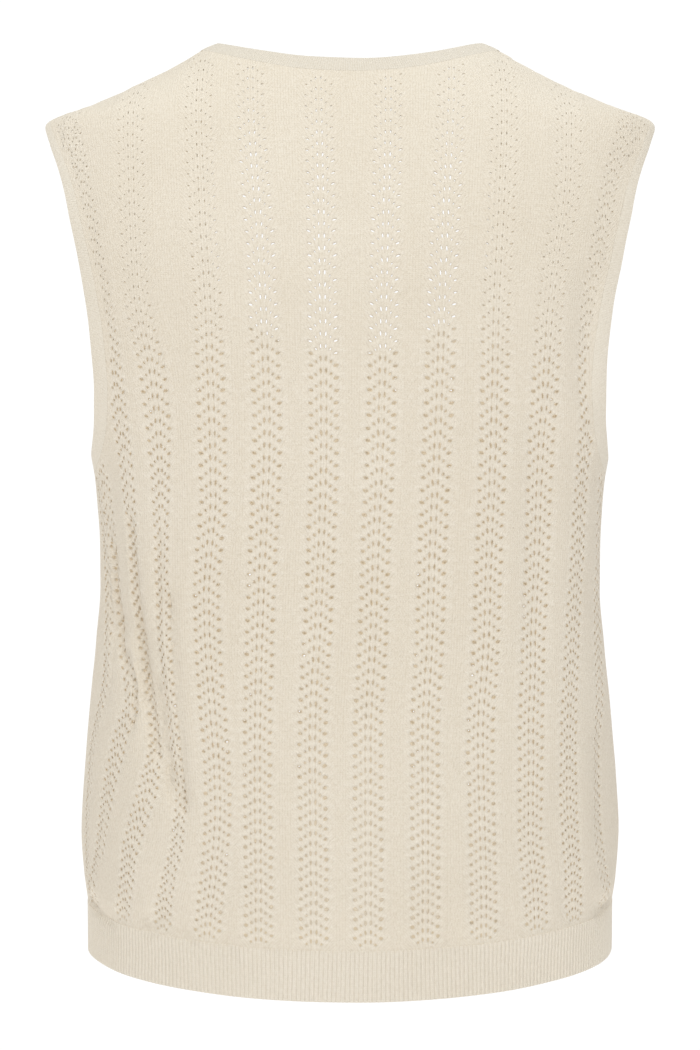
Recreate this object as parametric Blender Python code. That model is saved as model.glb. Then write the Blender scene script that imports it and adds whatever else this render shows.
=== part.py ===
"""A sleeveless knitted cardigan, filled out as it hangs when worn, with nobody in it.

Metres, +Z up. The front faces -Y and the wearer's left side is +X. The origin lies midway between
the two points where the shoulder seams meet the neck, at their height.

Every piece of cloth lies on one body form, whose level sections are superellipses. A point of the
cloth is a node (along, height, facing): along is measured round the section from the centre line,
positive towards the wearer's left, and facing is BACK or FRONT.
"""

import math

import bmesh
import bpy
import numpy as np
from mathutils import Matrix, Vector

BACK, FRONT = 1, -1
LEFT, RIGHT = 1, -1

# Cloth
PANEL_THICK = 0.0020
BAND_THICK = 0.0024
SEAM_GAP = 0.0003
CURVED_SEAM_GAP = 0.0005  # where a band bends round a panel's edge

# Hem
HEM_HEIGHT = -0.5844
HEM_DIP = {BACK: 0.0140, FRONT: 0.0120}
RIB_DEPTH = 0.0310

# Armholes: an egg round each shoulder, wider below, measured along the cloth from the side seam
ARMHOLE_BOTTOM = -0.2700
ARMHOLE_TOP = -0.0520
ARMHOLE_SCOOP = {BACK: 0.0680, FRONT: 0.0740}
ARMHOLE_FULLNESS = 0.18
ARMHOLE_BAND = 0.0100
SHOULDER_RISE = 0.43  # how much the height changes for each step along the shoulder seam

# Neck: a shallow curve behind, and a deep round one in front
NECK_BAND = 0.0110
NECK_SIDE_DROP = 0.46  # how much the band's inner edge drops at the shoulder seam, as a share of its width
BACK_NECK_DEPTH = 0.0160
BACK_BAND_DROP = 0.82
FRONT_NECK_DEPTH = 0.1950
FRONT_NECK_WIDEST = 0.0980
FRONT_NECK_WIDEST_HEIGHT = -0.1100
FRONT_NECK_SQUARENESS = 2.2

# Front opening: the right band lies over the left one, and the buttons sit on it
FRONT_BAND = 0.0220
BAND_LIFT = {RIGHT: 0.00135, LEFT: -0.00135}
BUTTONS = 6
BUTTON_RADIUS = 0.0070
BUTTON_THICK = 0.0026
BUTTON_FROM_TOP = 0.0120
BUTTON_FROM_HEM = 0.0155
BUTTON_STEPS = 20
BUTTON_HOLE_RADIUS = 0.0009
BUTTON_HOLE_OFFSET = 0.0014
BUTTON_HOLE_STEPS = 6

# Level sections of the body form, from the neck down
SECTION_COLUMNS = ("height", "half_width", "back_depth", "front_depth", "squareness")
SECTIONS = (
    (0.000, 0.0865, 0.0140, 0.0140, 2.40),
    (-0.004, 0.0950, 0.0255, 0.0255, 2.40),
    (-0.010, 0.1050, 0.0350, 0.0345, 2.40),
    (-0.016, 0.1148, 0.0420, 0.0410, 2.40),
    (-0.024, 0.1305, 0.0485, 0.0480, 2.40),
    (-0.034, 0.1505, 0.0545, 0.0545, 2.40),
    (-0.043, 0.1730, 0.0590, 0.0590, 2.40),
    (-0.049, 0.1895, 0.0615, 0.0620, 2.40),
    (-0.053, 0.1960, 0.0632, 0.0635, 2.40),
    (-0.061, 0.1995, 0.0665, 0.0670, 2.40),
    (-0.075, 0.2012, 0.0720, 0.0730, 2.40),
    (-0.110, 0.2012, 0.0835, 0.0870, 2.40),
    (-0.140, 0.1990, 0.0905, 0.0975, 2.40),
    (-0.170, 0.1942, 0.0948, 0.1060, 2.40),
    (-0.200, 0.1885, 0.0965, 0.1115, 2.40),
    (-0.230, 0.1803, 0.0962, 0.1135, 2.40),
    (-0.250, 0.1728, 0.0955, 0.1130, 2.40),
    (-0.270, 0.1664, 0.0945, 0.1115, 2.40),
    (-0.285, 0.1640, 0.0938, 0.1095, 2.38),
    (-0.320, 0.1615, 0.0922, 0.1045, 2.35),
    (-0.350, 0.1612, 0.0925, 0.1010, 2.30),
    (-0.386, 0.1638, 0.0955, 0.0990, 2.25),
    (-0.430, 0.1684, 0.1010, 0.1000, 2.20),
    (-0.470, 0.1716, 0.1070, 0.1030, 2.15),
    (-0.510, 0.1738, 0.1140, 0.1065, 2.10),
    (-0.540, 0.1718, 0.1185, 0.1090, 2.05),
    (-0.556, 0.1694, 0.1190, 0.1100, 2.05),
    (-0.570, 0.1693, 0.1178, 0.1105, 2.05),
    (-0.600, 0.1690, 0.1190, 0.1110, 2.05),
)

# The largest soft folds: troughs between two nodes of one side of the garment
FOLD_COLUMNS = ("facing", "along_1", "height_1", "along_2", "height_2", "half_width", "depth")
FOLDS = (
    (BACK, 0.170, -0.275, 0.158, -0.395, 0.012, 0.0032),
    (BACK, 0.143, -0.360, 0.107, -0.490, 0.011, 0.0024),
    (BACK, -0.149, -0.150, -0.150, -0.240, 0.011, 0.0024),
    (BACK, -0.117, -0.240, -0.118, -0.395, 0.012, 0.0020),
    (BACK, -0.172, -0.430, -0.170, -0.505, 0.012, 0.0024),
    (FRONT, 0.150, -0.235, 0.112, -0.320, 0.012, 0.0028),
    (FRONT, -0.153, -0.240, -0.118, -0.335, 0.012, 0.0026),
    (FRONT, 0.128, -0.400, 0.104, -0.500, 0.011, 0.0022),
    (FRONT, -0.140, -0.380, -0.125, -0.480, 0.011, 0.0022),
)
FOLD_END = 0.030  # a fold fades out over this length at each end
FOLD_SIDE_CLEAR = 0.016  # and over this width towards a side or shoulder seam

# How finely the faceted cloth is divided
COLUMNS_NECK_HALF = 5
COLUMNS_SHOULDER = 9
ROWS_SIDE_SEAM = 12
ROWS_STRAP_BASE = 8  # armhole steps from the side seam up to where the front strap starts
ROWS_ARMHOLE = 15
ROWS_BAND = 26
SECTION_STEPS = 400
STRAP_BASE_NECK = 0.36  # where the strap starts, as a share of the front neck edge

CREAM = (0.78, 0.71, 0.59)
RIB_CREAM = (0.76, 0.69, 0.56)
SHELL = (0.80, 0.73, 0.62)


# ---------------------------------------------------------------- the body form


def smooth_through(places, values):
    """A function through the points that never swings past them (monotone cubic)."""
    steps = np.diff(places)
    slopes = np.diff(values) / steps
    tangents = np.zeros(len(places))
    tangents[0], tangents[-1] = slopes[0], slopes[-1]
    for i in range(1, len(slopes)):
        before, after = slopes[i - 1], slopes[i]
        if before * after > 0:
            near = 2 * steps[i] + steps[i - 1]
            far = steps[i] + 2 * steps[i - 1]
            tangents[i] = (near + far) / (near / before + far / after)

    def value(place):
        place = min(max(place, places[0]), places[-1])
        i = min(int(np.searchsorted(places, place, side="right")) - 1, len(steps) - 1)
        i = max(i, 0)
        share = (place - places[i]) / steps[i]
        rest = 1 - share
        return (
            (1 + 2 * share) * rest**2 * values[i]
            + share * rest**2 * steps[i] * tangents[i]
            + share**2 * (3 - 2 * share) * values[i + 1]
            - share**2 * rest * steps[i] * tangents[i + 1]
        )

    return value


def section_function(column):
    rows = sorted(SECTIONS)
    index = SECTION_COLUMNS.index(column)
    return smooth_through(
        np.array([row[0] for row in rows]), np.array([row[index] for row in rows])
    )


half_width = section_function("half_width")
squareness = section_function("squareness")
depth_functions = {
    BACK: section_function("back_depth"),
    FRONT: section_function("front_depth"),
}


def quarter_section(height, facing):
    """X, distance from the side plane, and length so far, from the centre line to the side."""
    angles = np.linspace(0, math.pi / 2, SECTION_STEPS)
    power = 2 / squareness(height)
    across = half_width(height) * np.sin(angles) ** power
    out = depth_functions[facing](height) * np.cos(angles) ** power
    length = np.concatenate([[0], np.cumsum(np.hypot(np.diff(across), np.diff(out)))])
    return across, out, length


def girth(height, facing):
    """Length of cloth from the centre line to the side, round one level section."""
    return quarter_section(height, facing)[2][-1]


def along_at(x, height, facing):
    across, _, length = quarter_section(height, facing)
    return math.copysign(float(np.interp(abs(x), across, length)), x)


def form_point(along, height, facing):
    across, out, length = quarter_section(height, facing)
    x = math.copysign(float(np.interp(abs(along), length, across)), along)
    return Vector((x, facing * float(np.interp(abs(along), length, out)), height))


def form_normal(point, facing):
    """Outward normal, from the gradient of |x/a|^n + |y/b|^n."""

    def level(height):
        n = squareness(height)
        return (abs(point.x) / half_width(height)) ** n + (
            abs(point.y) / depth_functions[facing](height)
        ) ** n

    n = squareness(point.z)
    width, depth = half_width(point.z), depth_functions[facing](point.z)
    probe = 0.001
    top = min(point.z + probe, 0.0)
    return Vector(
        (
            math.copysign((abs(point.x) / width) ** (n - 1) / width, point.x) * n,
            facing * (abs(point.y) / depth) ** (n - 1) / depth * n,
            (level(top) - level(point.z - probe)) / (top - point.z + probe),
        )
    ).normalized()


def fade(share):
    """0 to 1 with level ends."""
    share = min(max(share, 0.0), 1.0)
    return share * share * (3 - 2 * share)


def fold_depth(along, height, facing):
    """How far the largest folds press the cloth in at a node."""
    total = 0.0
    for side, along_1, height_1, along_2, height_2, width, depth in FOLDS:
        if side != facing:
            continue
        run = Vector((along_2 - along_1, height_2 - height_1))
        offset = Vector((along - along_1, height - height_1))
        travelled = offset.dot(run.normalized())
        aside = (offset - travelled * run.normalized()).length
        ends = fade(travelled / FOLD_END) * fade((run.length - travelled) / FOLD_END)
        total += depth * ends * math.exp(-((aside / width) ** 2))
    if not total:
        return 0.0
    return total * fade((girth(height, facing) - abs(along)) / FOLD_SIDE_CLEAR)


def place(node, lift):
    """The point of a node, moved out along the normal."""
    along, height, facing = node
    point = form_point(along, height, facing)
    return point + form_normal(point, facing) * (lift - fold_depth(along, height, facing))


# ---------------------------------------------------------------- edges of the pieces


def hem_height(share, facing):
    """Height of the hem at a share of the way from the centre line to the side."""
    return HEM_HEIGHT - HEM_DIP[facing] * math.cos(share * math.pi / 2)


def armhole_node(angle, inset, facing, side):
    """A node on the armhole's edge, or inset from it; angle runs from the side seam up."""
    bottom = ARMHOLE_BOTTOM - inset
    top = ARMHOLE_TOP + SHOULDER_RISE * inset
    height = (bottom + top) / 2 - (top - bottom) / 2 * math.cos(angle)
    scoop = (ARMHOLE_SCOOP[facing] + inset) * math.sin(angle)
    scoop *= 1 + ARMHOLE_FULLNESS * math.cos(angle)
    return side * (girth(height, facing) - scoop), height, facing


def neck_side_height(inset):
    return -NECK_SIDE_DROP * inset


def back_neck_node(share, inset):
    """A node on the back neck edge; share runs from -1 at the right shoulder to 1 at the left."""
    side_height = neck_side_height(inset)
    drop = BACK_NECK_DEPTH + BACK_BAND_DROP * inset + side_height
    height = side_height - drop * (1 - share * share)
    return along_at(share * half_width(side_height), height, BACK), height, BACK


def front_neck_node(share, inset, side):
    """A node on the front neck edge; share runs from 0 at the band to 1 at the shoulder seam."""
    widest = FRONT_NECK_WIDEST + inset
    lowest = -FRONT_NECK_DEPTH - inset
    power = 2 / FRONT_NECK_SQUARENESS
    start = math.asin(((FRONT_BAND / 2 + SEAM_GAP) / widest) ** (1 / power))
    if share < 0.5:
        angle = start + (math.pi / 2 - start) * 2 * share
        x = widest * math.sin(angle) ** power
        rise = math.cos(angle) ** power
        height = FRONT_NECK_WIDEST_HEIGHT + (lowest - FRONT_NECK_WIDEST_HEIGHT) * rise
    else:
        climb = 2 * share - 1
        top = neck_side_height(inset)
        height = FRONT_NECK_WIDEST_HEIGHT + (top - FRONT_NECK_WIDEST_HEIGHT) * climb
        x = widest + (half_width(top) - widest) * climb * climb
    return side * along_at(x, height, FRONT), height, FRONT


def front_neck_shares():
    """The steps round the front neck: to where the strap starts, and up the strap."""
    low = [STRAP_BASE_NECK * i / COLUMNS_NECK_HALF for i in range(COLUMNS_NECK_HALF)]
    rows = ROWS_ARMHOLE - ROWS_STRAP_BASE
    high = [STRAP_BASE_NECK + (1 - STRAP_BASE_NECK) * i / rows for i in range(rows + 1)]
    return low, high


def shoulder_nodes(facing, side, count):
    """The panel's edge along the shoulder seam, from the neck band to the armhole band."""
    inner = neck_side_height(NECK_BAND + CURVED_SEAM_GAP)
    outer = ARMHOLE_TOP + SHOULDER_RISE * (ARMHOLE_BAND + CURVED_SEAM_GAP)
    heights = np.linspace(inner, outer, count + 1)
    return [(side * (girth(h, facing) - SEAM_GAP / 2), float(h), facing) for h in heights]


def armhole_edge(facing, side, first, last):
    """The panel's edge round the armhole band, between two of its steps."""
    nodes = []
    for i in range(first, last + 1):
        angle = math.pi * i / ROWS_ARMHOLE
        along, height, _ = armhole_node(angle, ARMHOLE_BAND + CURVED_SEAM_GAP, facing, side)
        limit = girth(height, facing) - SEAM_GAP / 2
        nodes.append((side * min(abs(along), limit), height, facing))
    return nodes


def side_nodes(facing, side, start_height, last_step):
    """The panel's edge up the side seam and round the armhole band to one of its steps."""
    end_height = ARMHOLE_BOTTOM - ARMHOLE_BAND - CURVED_SEAM_GAP
    heights = np.linspace(start_height, end_height, ROWS_SIDE_SEAM + 1)
    seam = [(side * (girth(h, facing) - SEAM_GAP / 2), float(h), facing) for h in heights]
    return seam + armhole_edge(facing, side, 1, last_step)


def between(start, end, count):
    """Nodes in a straight run from one node to another."""
    return [
        (
            start[0] + (end[0] - start[0]) * i / count,
            start[1] + (end[1] - start[1]) * i / count,
            start[2],
        )
        for i in range(count + 1)
    ]


def bottom_nodes(facing, start, end, count, extra):
    """Nodes level with the hem, raised by extra, from one distance along to another."""
    nodes = []
    for i in range(count + 1):
        along = start + (end - start) * i / count
        reach = girth(HEM_HEIGHT + extra, facing)
        nodes.append((along, hem_height(along / reach, facing) + extra, facing))
    return nodes


def patch(bottom, right, top, left):
    """A four-sided net of nodes filled in from its edges (a Coons patch)."""
    columns, rows = len(bottom) - 1, len(left) - 1
    net = []
    for j in range(rows + 1):
        t = j / rows
        line = []
        for i in range(columns + 1):
            s = i / columns
            node = []
            for axis in (0, 1):
                edges = (1 - s) * left[j][axis] + s * right[j][axis]
                edges += (1 - t) * bottom[i][axis] + t * top[i][axis]
                corners = (1 - s) * (1 - t) * bottom[0][axis] + s * (1 - t) * bottom[-1][axis]
                corners += (1 - s) * t * top[0][axis] + s * t * top[-1][axis]
                node.append(edges - corners)
            line.append((node[0], node[1], bottom[i][2]))
        net.append(line)
    return net


# ---------------------------------------------------------------- solids


def material(name, colour, roughness):
    made = bpy.data.materials.new(name)
    made.use_nodes = True
    shader = made.node_tree.nodes["Principled BSDF"]
    shader.inputs["Base Color"].default_value = (*colour, 1)
    shader.inputs["Roughness"].default_value = roughness
    shader.inputs["Metallic"].default_value = 0
    return made


def add_object(name, mesh, finish):
    obj = bpy.data.objects.new(name, mesh)
    mesh.materials.append(finish)
    bpy.context.collection.objects.link(obj)
    mesh.shade_smooth()
    mesh.set_sharp_from_angle(angle=math.radians(40))
    return obj


def cloth(name, nets, thickness, finish, lift=0.0):
    """A closed wall of cloth on the body form, from one or more nets of nodes that share edges."""
    bm = bmesh.new()
    walls = {}
    pairs = []
    for net in nets:
        for line in net:
            for node in line:
                middle = place(node, lift)
                key = tuple(round(c, 6) for c in middle)
                if key not in walls:
                    outer = bm.verts.new(place(node, lift + thickness / 2))
                    inner = bm.verts.new(place(node, lift - thickness / 2))
                    walls[key] = (outer, inner)
                    pairs.append((outer, inner))
    uses = {}
    for net in nets:
        keys = [[tuple(round(c, 6) for c in place(n, lift)) for n in line] for line in net]
        for j in range(len(keys) - 1):
            for i in range(len(keys[0]) - 1):
                ring = [keys[j][i], keys[j][i + 1], keys[j + 1][i + 1], keys[j + 1][i]]
                ring = [key for k, key in enumerate(ring) if key != ring[k - 1]]
                bm.faces.new([walls[key][0] for key in ring])
                bm.faces.new([walls[key][1] for key in reversed(ring)])
                for k, key in enumerate(ring):
                    edge = (ring[k - 1], key)
                    uses[frozenset(edge)] = None if frozenset(edge) in uses else edge
    for edge in uses.values():
        if edge:
            first, second = walls[edge[0]], walls[edge[1]]
            bm.faces.new((second[0], first[0], first[1], second[1]))
    bmesh.ops.recalc_face_normals(bm, faces=bm.faces)
    bmesh.ops.triangulate(bm, faces=bm.faces, quad_method="SHORT_EDGE")
    mesh = bpy.data.meshes.new(name)
    bm.to_mesh(mesh)
    bm.free()
    return add_object(name, mesh, finish)


def back_half(side):
    """The back panel's net from the centre line to one side."""
    raised = RIB_DEPTH + SEAM_GAP
    reach = girth(HEM_HEIGHT + raised, BACK) - SEAM_GAP / 2
    columns = COLUMNS_NECK_HALF + COLUMNS_SHOULDER
    bottom = bottom_nodes(BACK, 0.0, side * reach, columns, raised)
    outer = side_nodes(BACK, side, bottom[-1][1], ROWS_ARMHOLE)
    neck = [
        back_neck_node(side * i / COLUMNS_NECK_HALF, NECK_BAND + CURVED_SEAM_GAP)
        for i in range(COLUMNS_NECK_HALF)
    ]
    top = neck + shoulder_nodes(BACK, side, COLUMNS_SHOULDER)
    return patch(bottom, outer, top, between(bottom[0], top[0], len(outer) - 1))


def back_panel(finish):
    return cloth("back_panel", [back_half(LEFT), back_half(RIGHT)], PANEL_THICK, finish)


def front_panel(name, side, finish):
    raised = RIB_DEPTH + SEAM_GAP
    inset = NECK_BAND + CURVED_SEAM_GAP
    edge = FRONT_BAND / 2 + SEAM_GAP
    columns = COLUMNS_NECK_HALF + COLUMNS_SHOULDER
    reach = girth(HEM_HEIGHT + raised, FRONT) - SEAM_GAP / 2
    bottom = bottom_nodes(FRONT, side * edge, side * reach, columns, raised)
    outer = side_nodes(FRONT, side, bottom[-1][1], ROWS_STRAP_BASE)
    neck_low, neck_high = [
        [front_neck_node(share, inset, side) for share in shares]
        for shares in front_neck_shares()
    ]
    strap_base = between(neck_high[0], outer[-1], COLUMNS_SHOULDER)
    centre = between(bottom[0], neck_low[0], len(outer) - 1)
    body = patch(bottom, outer, neck_low + strap_base, centre)
    armhole_high = armhole_edge(FRONT, side, ROWS_STRAP_BASE, ROWS_ARMHOLE)
    shoulder = shoulder_nodes(FRONT, side, COLUMNS_SHOULDER)
    neck_high[-1], armhole_high[-1] = shoulder[0], shoulder[-1]
    strap = patch(strap_base, armhole_high, shoulder, neck_high)
    return cloth(name, [body, strap], PANEL_THICK, finish)


def hem_rib(name, facing, start, end, columns, finish):
    rows = [bottom_nodes(facing, start, end, columns, RIB_DEPTH * i / 2) for i in range(3)]
    return cloth(name, [rows], BAND_THICK, finish)


def armhole_band(name, side, finish):
    net = []
    for i in range(2 * ROWS_ARMHOLE + 1):
        facing = BACK if i <= ROWS_ARMHOLE else FRONT
        steps = i if facing == BACK else 2 * ROWS_ARMHOLE - i
        angle = math.pi * steps / ROWS_ARMHOLE
        net.append([armhole_node(angle, inset, facing, side) for inset in (0.0, ARMHOLE_BAND)])
    return cloth(name, [net], BAND_THICK, finish)


def neck_band(finish):
    low, high = front_neck_shares()
    net = []
    for inset in (0.0, NECK_BAND):
        right = [front_neck_node(share, inset, RIGHT) for share in low + high]
        left = [front_neck_node(share, inset, LEFT) for share in low + high]
        count = 2 * COLUMNS_NECK_HALF
        back = [back_neck_node(i / count * 2 - 1, inset) for i in range(1, count)]
        net.append(right + back + left[::-1])
    return cloth("neck_band", [net], BAND_THICK, finish)


def front_band(name, side, finish):
    top = front_neck_node(0, 0.0, RIGHT)[1]
    bottom = hem_height(0, FRONT)
    net = []
    for i in range(ROWS_BAND + 1):
        height = bottom + (top - bottom) * i / ROWS_BAND
        net.append([(across, height, FRONT) for across in (-FRONT_BAND / 2, FRONT_BAND / 2)])
    return cloth(name, [net], BAND_THICK, finish, BAND_LIFT[side])


# ---------------------------------------------------------------- buttons


def turned(name, profile, steps):
    """A closed solid turned about Z from (radius, height) points that start and end on the axis."""
    bm = bmesh.new()
    verts = [bm.verts.new((radius, 0, height)) for radius, height in profile]
    edges = [bm.edges.new(pair) for pair in zip(verts, verts[1:])]
    bmesh.ops.spin(
        bm, geom=verts + edges, axis=(0, 0, 1), cent=(0, 0, 0), angle=2 * math.pi, steps=steps
    )
    bmesh.ops.remove_doubles(bm, verts=bm.verts, dist=1e-6)
    bmesh.ops.recalc_face_normals(bm, faces=bm.faces)
    mesh = bpy.data.meshes.new(name)
    bm.to_mesh(mesh)
    bm.free()
    return mesh


def button_mesh():
    """A dished disc with a raised rim and four thread holes."""
    radius, thick = BUTTON_RADIUS, BUTTON_THICK
    profile = (
        (0, -0.50 * thick),
        (0.80 * radius, -0.50 * thick),
        (1.00 * radius, -0.10 * thick),
        (0.97 * radius, 0.36 * thick),
        (0.86 * radius, 0.50 * thick),
        (0.70 * radius, 0.26 * thick),
        (0, 0.20 * thick),
    )
    disc = bpy.data.objects.new("button_blank", turned("button_blank", profile, BUTTON_STEPS))
    bpy.context.collection.objects.link(disc)
    bm = bmesh.new()
    for turn in range(4):
        across = BUTTON_HOLE_OFFSET if turn % 2 else -BUTTON_HOLE_OFFSET
        up = BUTTON_HOLE_OFFSET if turn // 2 else -BUTTON_HOLE_OFFSET
        bmesh.ops.create_cone(
            bm,
            cap_ends=True,
            segments=BUTTON_HOLE_STEPS,
            radius1=BUTTON_HOLE_RADIUS,
            radius2=BUTTON_HOLE_RADIUS,
            depth=3 * thick,
            matrix=Matrix.Translation((across, up, 0)),
        )
    holes = bpy.data.meshes.new("button_holes")
    bm.to_mesh(holes)
    bm.free()
    cutter = bpy.data.objects.new("button_holes", holes)
    bpy.context.collection.objects.link(cutter)
    cut = disc.modifiers.new("holes", "BOOLEAN")
    cut.operation = "DIFFERENCE"
    cut.object = cutter
    bpy.context.view_layer.update()
    evaluated = disc.evaluated_get(bpy.context.evaluated_depsgraph_get())
    mesh = bpy.data.meshes.new_from_object(evaluated)
    for helper in (disc, cutter):
        bpy.data.objects.remove(helper, do_unlink=True)
    return mesh


def add_buttons(finish):
    """Buttons on the outer band, evenly spaced, each square to the cloth under it."""
    mesh = button_mesh()
    top = front_neck_node(0, 0.0, RIGHT)[1] - BUTTON_FROM_TOP
    bottom = hem_height(0, FRONT) + BUTTON_FROM_HEM
    lift = BAND_LIFT[RIGHT] + BAND_THICK / 2 + SEAM_GAP + BUTTON_THICK / 2
    for i in range(BUTTONS):
        height = top + (bottom - top) * i / (BUTTONS - 1)
        seat = form_point(0.0, height, FRONT)
        outward = form_normal(seat, FRONT)
        obj = add_object(f"button_{i + 1}", mesh.copy(), finish)
        obj.location = seat + outward * lift
        obj.rotation_mode = "QUATERNION"
        obj.rotation_quaternion = outward.to_track_quat("Z", "Y")


def main():
    for obj in list(bpy.data.objects):
        bpy.data.objects.remove(obj, do_unlink=True)
    knit = material("lace_knit", CREAM, 0.95)
    rib = material("rib_knit", RIB_CREAM, 0.95)
    shell = material("button", SHELL, 0.35)

    back_panel(knit)
    front_panel("front_left_panel", LEFT, knit)
    front_panel("front_right_panel", RIGHT, knit)

    columns = COLUMNS_NECK_HALF + COLUMNS_SHOULDER
    back_reach = girth(HEM_HEIGHT + RIB_DEPTH / 2, BACK) - SEAM_GAP / 2
    front_reach = girth(HEM_HEIGHT + RIB_DEPTH / 2, FRONT) - SEAM_GAP / 2
    edge = FRONT_BAND / 2 + SEAM_GAP
    hem_rib("hem_rib_back", BACK, -back_reach, back_reach, 2 * columns, rib)
    hem_rib("hem_rib_front_left", FRONT, edge, front_reach, columns, rib)
    hem_rib("hem_rib_front_right", FRONT, -edge, -front_reach, columns, rib)

    armhole_band("armhole_band_left", LEFT, rib)
    armhole_band("armhole_band_right", RIGHT, rib)
    neck_band(rib)
    front_band("front_band_left", LEFT, rib)
    front_band("front_band_right", RIGHT, rib)
    add_buttons(shell)


main()
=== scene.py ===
"""The looks of a sleeveless lace-knit cardigan, seen from behind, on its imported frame.

Every knitted piece is a thin wall on one body form, whose level sections are superellipses. A point
of the cloth is given by along, its distance round the section from the centre line (positive towards
the wearer's left), its height, and facing, BACK or FRONT.
"""

import math
import random

import bmesh
import bpy
import numpy as np
from mathutils import Matrix, Vector
from mathutils.geometry import delaunay_2d_cdt
from mathutils.kdtree import KDTree


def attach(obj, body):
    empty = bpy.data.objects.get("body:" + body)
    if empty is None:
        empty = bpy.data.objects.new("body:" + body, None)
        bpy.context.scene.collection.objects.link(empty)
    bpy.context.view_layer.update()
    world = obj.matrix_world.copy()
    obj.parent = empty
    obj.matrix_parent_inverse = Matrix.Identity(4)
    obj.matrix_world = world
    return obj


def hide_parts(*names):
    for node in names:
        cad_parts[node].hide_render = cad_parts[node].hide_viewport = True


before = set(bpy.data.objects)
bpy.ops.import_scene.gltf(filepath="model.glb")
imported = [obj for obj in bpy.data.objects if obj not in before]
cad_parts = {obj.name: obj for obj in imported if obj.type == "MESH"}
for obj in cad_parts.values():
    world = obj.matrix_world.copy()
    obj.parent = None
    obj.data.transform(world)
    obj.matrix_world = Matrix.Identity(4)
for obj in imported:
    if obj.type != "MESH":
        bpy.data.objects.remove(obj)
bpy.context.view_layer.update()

BACK, FRONT = 1, -1
LEFT, RIGHT = 1, -1

# ---- sizes, in metres

HEM_HEIGHT = -0.5844
HEM_DIP = {BACK: 0.0140, FRONT: 0.0120}
RIB_DEPTH = 0.0310
ARMHOLE_BOTTOM = -0.2700
ARMHOLE_TOP = -0.0520
ARMHOLE_SCOOP = {BACK: 0.0680, FRONT: 0.0740}
ARMHOLE_FULLNESS = 0.18
ARMHOLE_BAND = 0.0100
SHOULDER_RISE = 0.43
NECK_BAND = 0.0110
NECK_SIDE_DROP = 0.46
BACK_NECK_DEPTH = 0.0160
BACK_BAND_DROP = 0.82
FRONT_NECK_DEPTH = 0.1950
FRONT_NECK_WIDEST = 0.0980
FRONT_NECK_WIDEST_HEIGHT = -0.1100
FRONT_NECK_SQUARENESS = 2.2
FRONT_BAND = 0.0220
BAND_LIFT = {RIGHT: 0.00135, LEFT: -0.00135}
SEAM = 0.0001  # what is left open where two pieces are linked
HEM_LAP = 0.0008  # how far the panels reach down over the hem rib
PANEL_RAISED = RIB_DEPTH - HEM_LAP
FRONT_EDGE = FRONT_BAND / 2 + SEAM
SHARP_ANGLE = 60
RIM_LESS_PAINTED_SHADE = 1.35  # the cut faces of eyelets take this much less painted tan shade
UPPER_LESS_PAINTED_SHADE = 0.6  # and so do all eyelets above the front's neck opening, by this share
FAR = 9.0  # a distance from eyelets, in eyelets, for pieces that have none
PANEL_WALL = 0.0008
EDGE_LIFT = 0.00026  # brings the panels' edges out to the face of the bands
BAND_WALL = 0.0015
RIB_WALL = 0.0016

# Level sections of the body form, from the neck down: height, half width, depth of the back,
# depth of the front, and squareness
SECTIONS = (
    (0, 0.0865, 0.014, 0.014, 2.4), (-0.004, 0.095, 0.0255, 0.0255, 2.4),
    (-0.01, 0.105, 0.035, 0.0345, 2.4), (-0.016, 0.1148, 0.042, 0.041, 2.4),
    (-0.024, 0.1305, 0.0485, 0.048, 2.4), (-0.034, 0.1505, 0.0545, 0.0545, 2.4),
    (-0.043, 0.173, 0.059, 0.059, 2.4), (-0.049, 0.1895, 0.0615, 0.062, 2.4),
    (-0.053, 0.196, 0.0632, 0.0635, 2.4), (-0.061, 0.1995, 0.0665, 0.067, 2.4),
    (-0.075, 0.2012, 0.072, 0.073, 2.4), (-0.11, 0.2012, 0.0835, 0.087, 2.4),
    (-0.14, 0.199, 0.0905, 0.0975, 2.4), (-0.17, 0.1942, 0.0948, 0.106, 2.4),
    (-0.2, 0.1885, 0.0965, 0.1115, 2.4), (-0.23, 0.1803, 0.0962, 0.1135, 2.4),
    (-0.25, 0.1728, 0.0955, 0.113, 2.4), (-0.27, 0.1664, 0.0945, 0.1115, 2.4),
    (-0.285, 0.164, 0.0938, 0.1095, 2.38), (-0.32, 0.1615, 0.0922, 0.1045, 2.35),
    (-0.35, 0.1612, 0.0925, 0.101, 2.3), (-0.386, 0.1638, 0.0955, 0.099, 2.25),
    (-0.43, 0.1684, 0.101, 0.1, 2.2), (-0.47, 0.1716, 0.107, 0.103, 2.15),
    (-0.51, 0.1738, 0.114, 0.1065, 2.1), (-0.54, 0.1718, 0.1185, 0.109, 2.05),
    (-0.556, 0.1694, 0.119, 0.11, 2.05), (-0.57, 0.1693, 0.1178, 0.1105, 2.05),
    (-0.6, 0.169, 0.119, 0.111, 2.05),
)

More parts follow.
